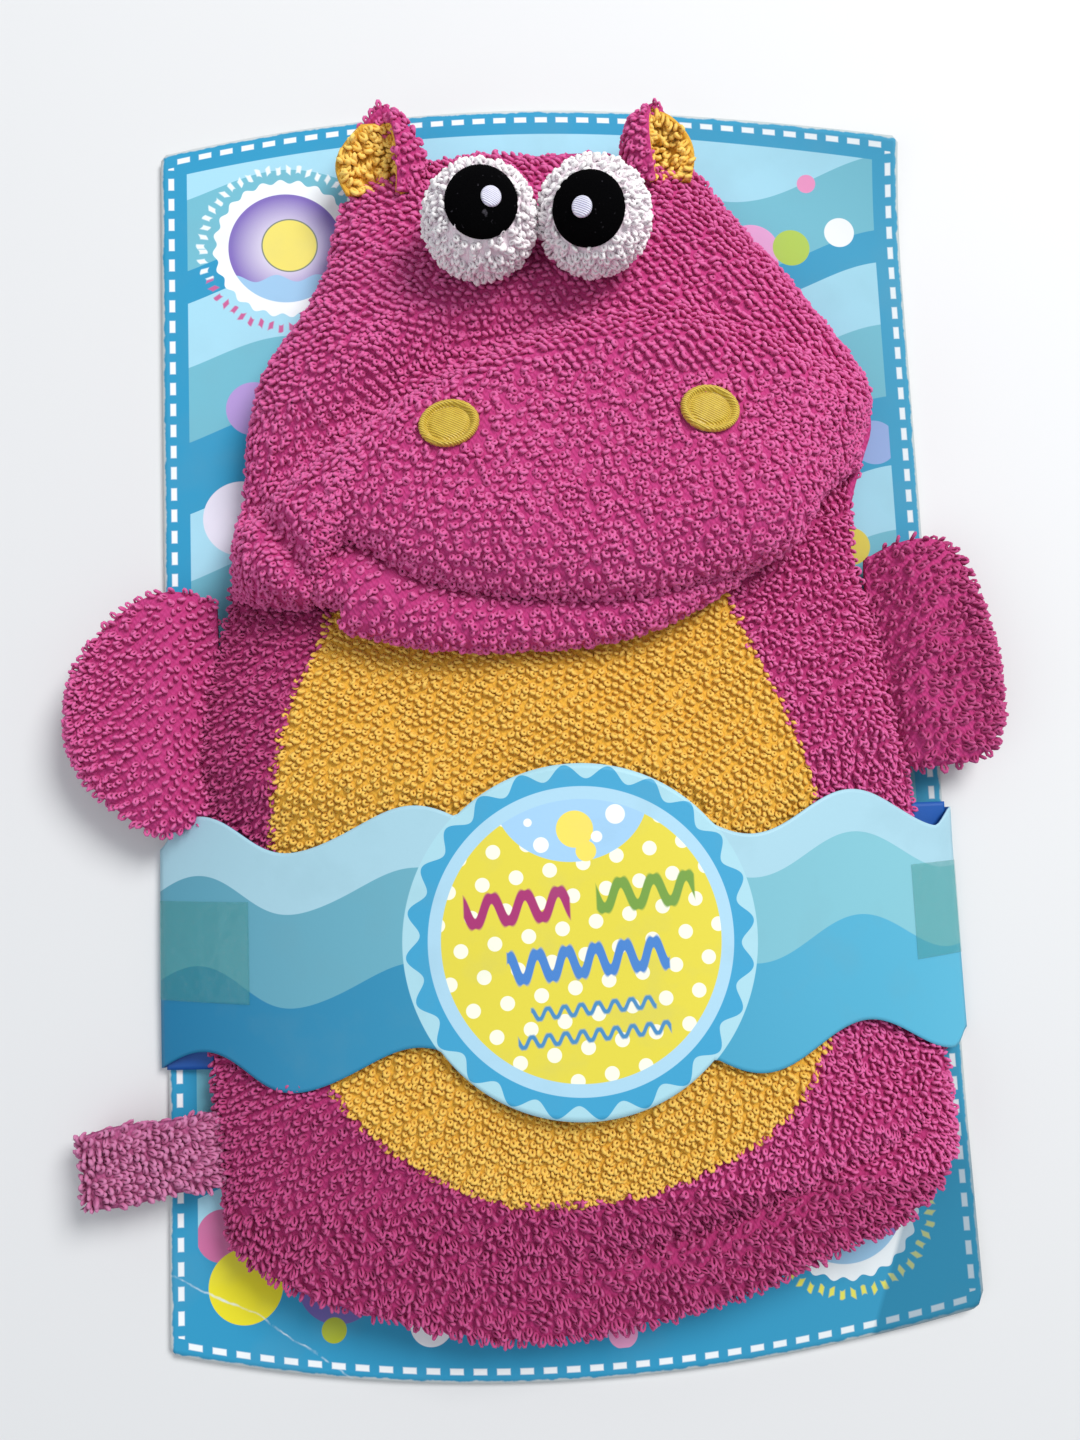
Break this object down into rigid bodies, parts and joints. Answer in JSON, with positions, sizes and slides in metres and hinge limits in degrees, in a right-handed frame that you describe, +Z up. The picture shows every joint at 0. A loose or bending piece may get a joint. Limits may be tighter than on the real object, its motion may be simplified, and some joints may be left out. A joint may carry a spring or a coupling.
{
  "type": "wash mitt",
  "caption": "Terry hand-puppet wash mitt in the shape of an animal, on its back on an arched backing card, held by a wavy paper wrap with a round badge.",
  "frame": {"origin": "middle of the whole object's footprint, on the floor that the card lies on", "axes": "+Z up from the card, +Y from the hem to the top of the head, +X to the right as the face looks up"},
  "size_m": [0.1945, 0.273, 0.0429],
  "materials": {
    "pink_terry": "looped pile",
    "yellow_terry": "looped pile",
    "white_terry": "looped pile",
    "wadding": "loose fibre",
    "black_felt": "pressed felt",
    "glint_thread": "satin stitch",
    "nostril_thread": "satin stitch",
    "card_print": "printed, satin varnish",
    "wrap_print": "printed, satin varnish",
    "clear_tape": "clear, glossy"
  },
  "bodies": {
    "mitt_on_card": {"backing_card": "card_print", "wrap_band": "wrap_print", "wrap_tape_left": "clear_tape", "wrap_tape_right": "clear_tape", "back_panel": "pink_terry", "front_panel": "pink_terry", "belly_panel": "yellow_terry"},
    "head": {"head_back_panel": "pink_terry", "head_front_panel": "pink_terry", "throat_panel": "pink_terry", "mouth_upper_lining": "pink_terry", "eye_cover_left": "white_terry", "eye_wadding_left": "wadding", "pupil_left": "black_felt", "pupil_glint_left": "glint_thread", "eye_cover_right": "white_terry", "eye_wadding_right": "wadding", "pupil_right": "black_felt", "pupil_glint_right": "glint_thread", "nostril_left": "nostril_thread", "nostril_right": "nostril_thread"},
    "jaw": {"lower_jaw": "pink_terry", "mouth_lower_lining": "pink_terry"},
    "left_ear": {"ear_outer_left": "pink_terry", "ear_lining_left": "yellow_terry"},
    "right_ear": {"ear_outer_right": "pink_terry", "ear_lining_right": "yellow_terry"},
    "left_arm": {"arm_front_left": "pink_terry", "arm_back_left": "pink_terry"},
    "right_arm": {"arm_front_right": "pink_terry", "arm_back_right": "pink_terry"},
    "loop": {"hanging_loop": "pink_terry"}
  },
  "joints": [
    {"name": "neck_bend", "type": "hinge", "parent": "mitt_on_card", "child": "head", "pos_m": [0.005, 0.0055, 0.008], "axis": [1, 0, 0], "range_deg": [0, 25]},
    {"name": "mouth_open", "type": "hinge", "parent": "head", "child": "jaw", "pos_m": [0, 0.02, 0.005], "axis": [1, 0, 0], "range_deg": [0, 20]},
    {"name": "left_ear_fold", "type": "hinge", "parent": "head", "child": "left_ear", "pos_m": [-0.0315, 0.1085, 0.0127], "axis": [0.9703, 0.2419, 0], "range_deg": [0, 50]},
    {"name": "right_ear_fold", "type": "hinge", "parent": "head", "child": "right_ear", "pos_m": [0.031, 0.1095, 0.0161], "axis": [0.9703, -0.2419, 0], "range_deg": [0, 50]},
    {"name": "left_arm_fold", "type": "hinge", "parent": "mitt_on_card", "child": "left_arm", "pos_m": [-0.069, 0.003, 0.0102], "axis": [0.1219, 0.9925, 0], "range_deg": [0, 80]},
    {"name": "right_arm_fold", "type": "hinge", "parent": "mitt_on_card", "child": "right_arm", "pos_m": [0.074, 0.007, 0.0102], "axis": [0.1219, -0.9925, 0], "range_deg": [0, 80]},
    {"name": "loop_fold", "type": "hinge", "parent": "mitt_on_card", "child": "loop", "pos_m": [-0.0719, -0.0865, 0.0106], "axis": [-0.1219, 0.9925, 0], "range_deg": [0, 75]}
  ]
}
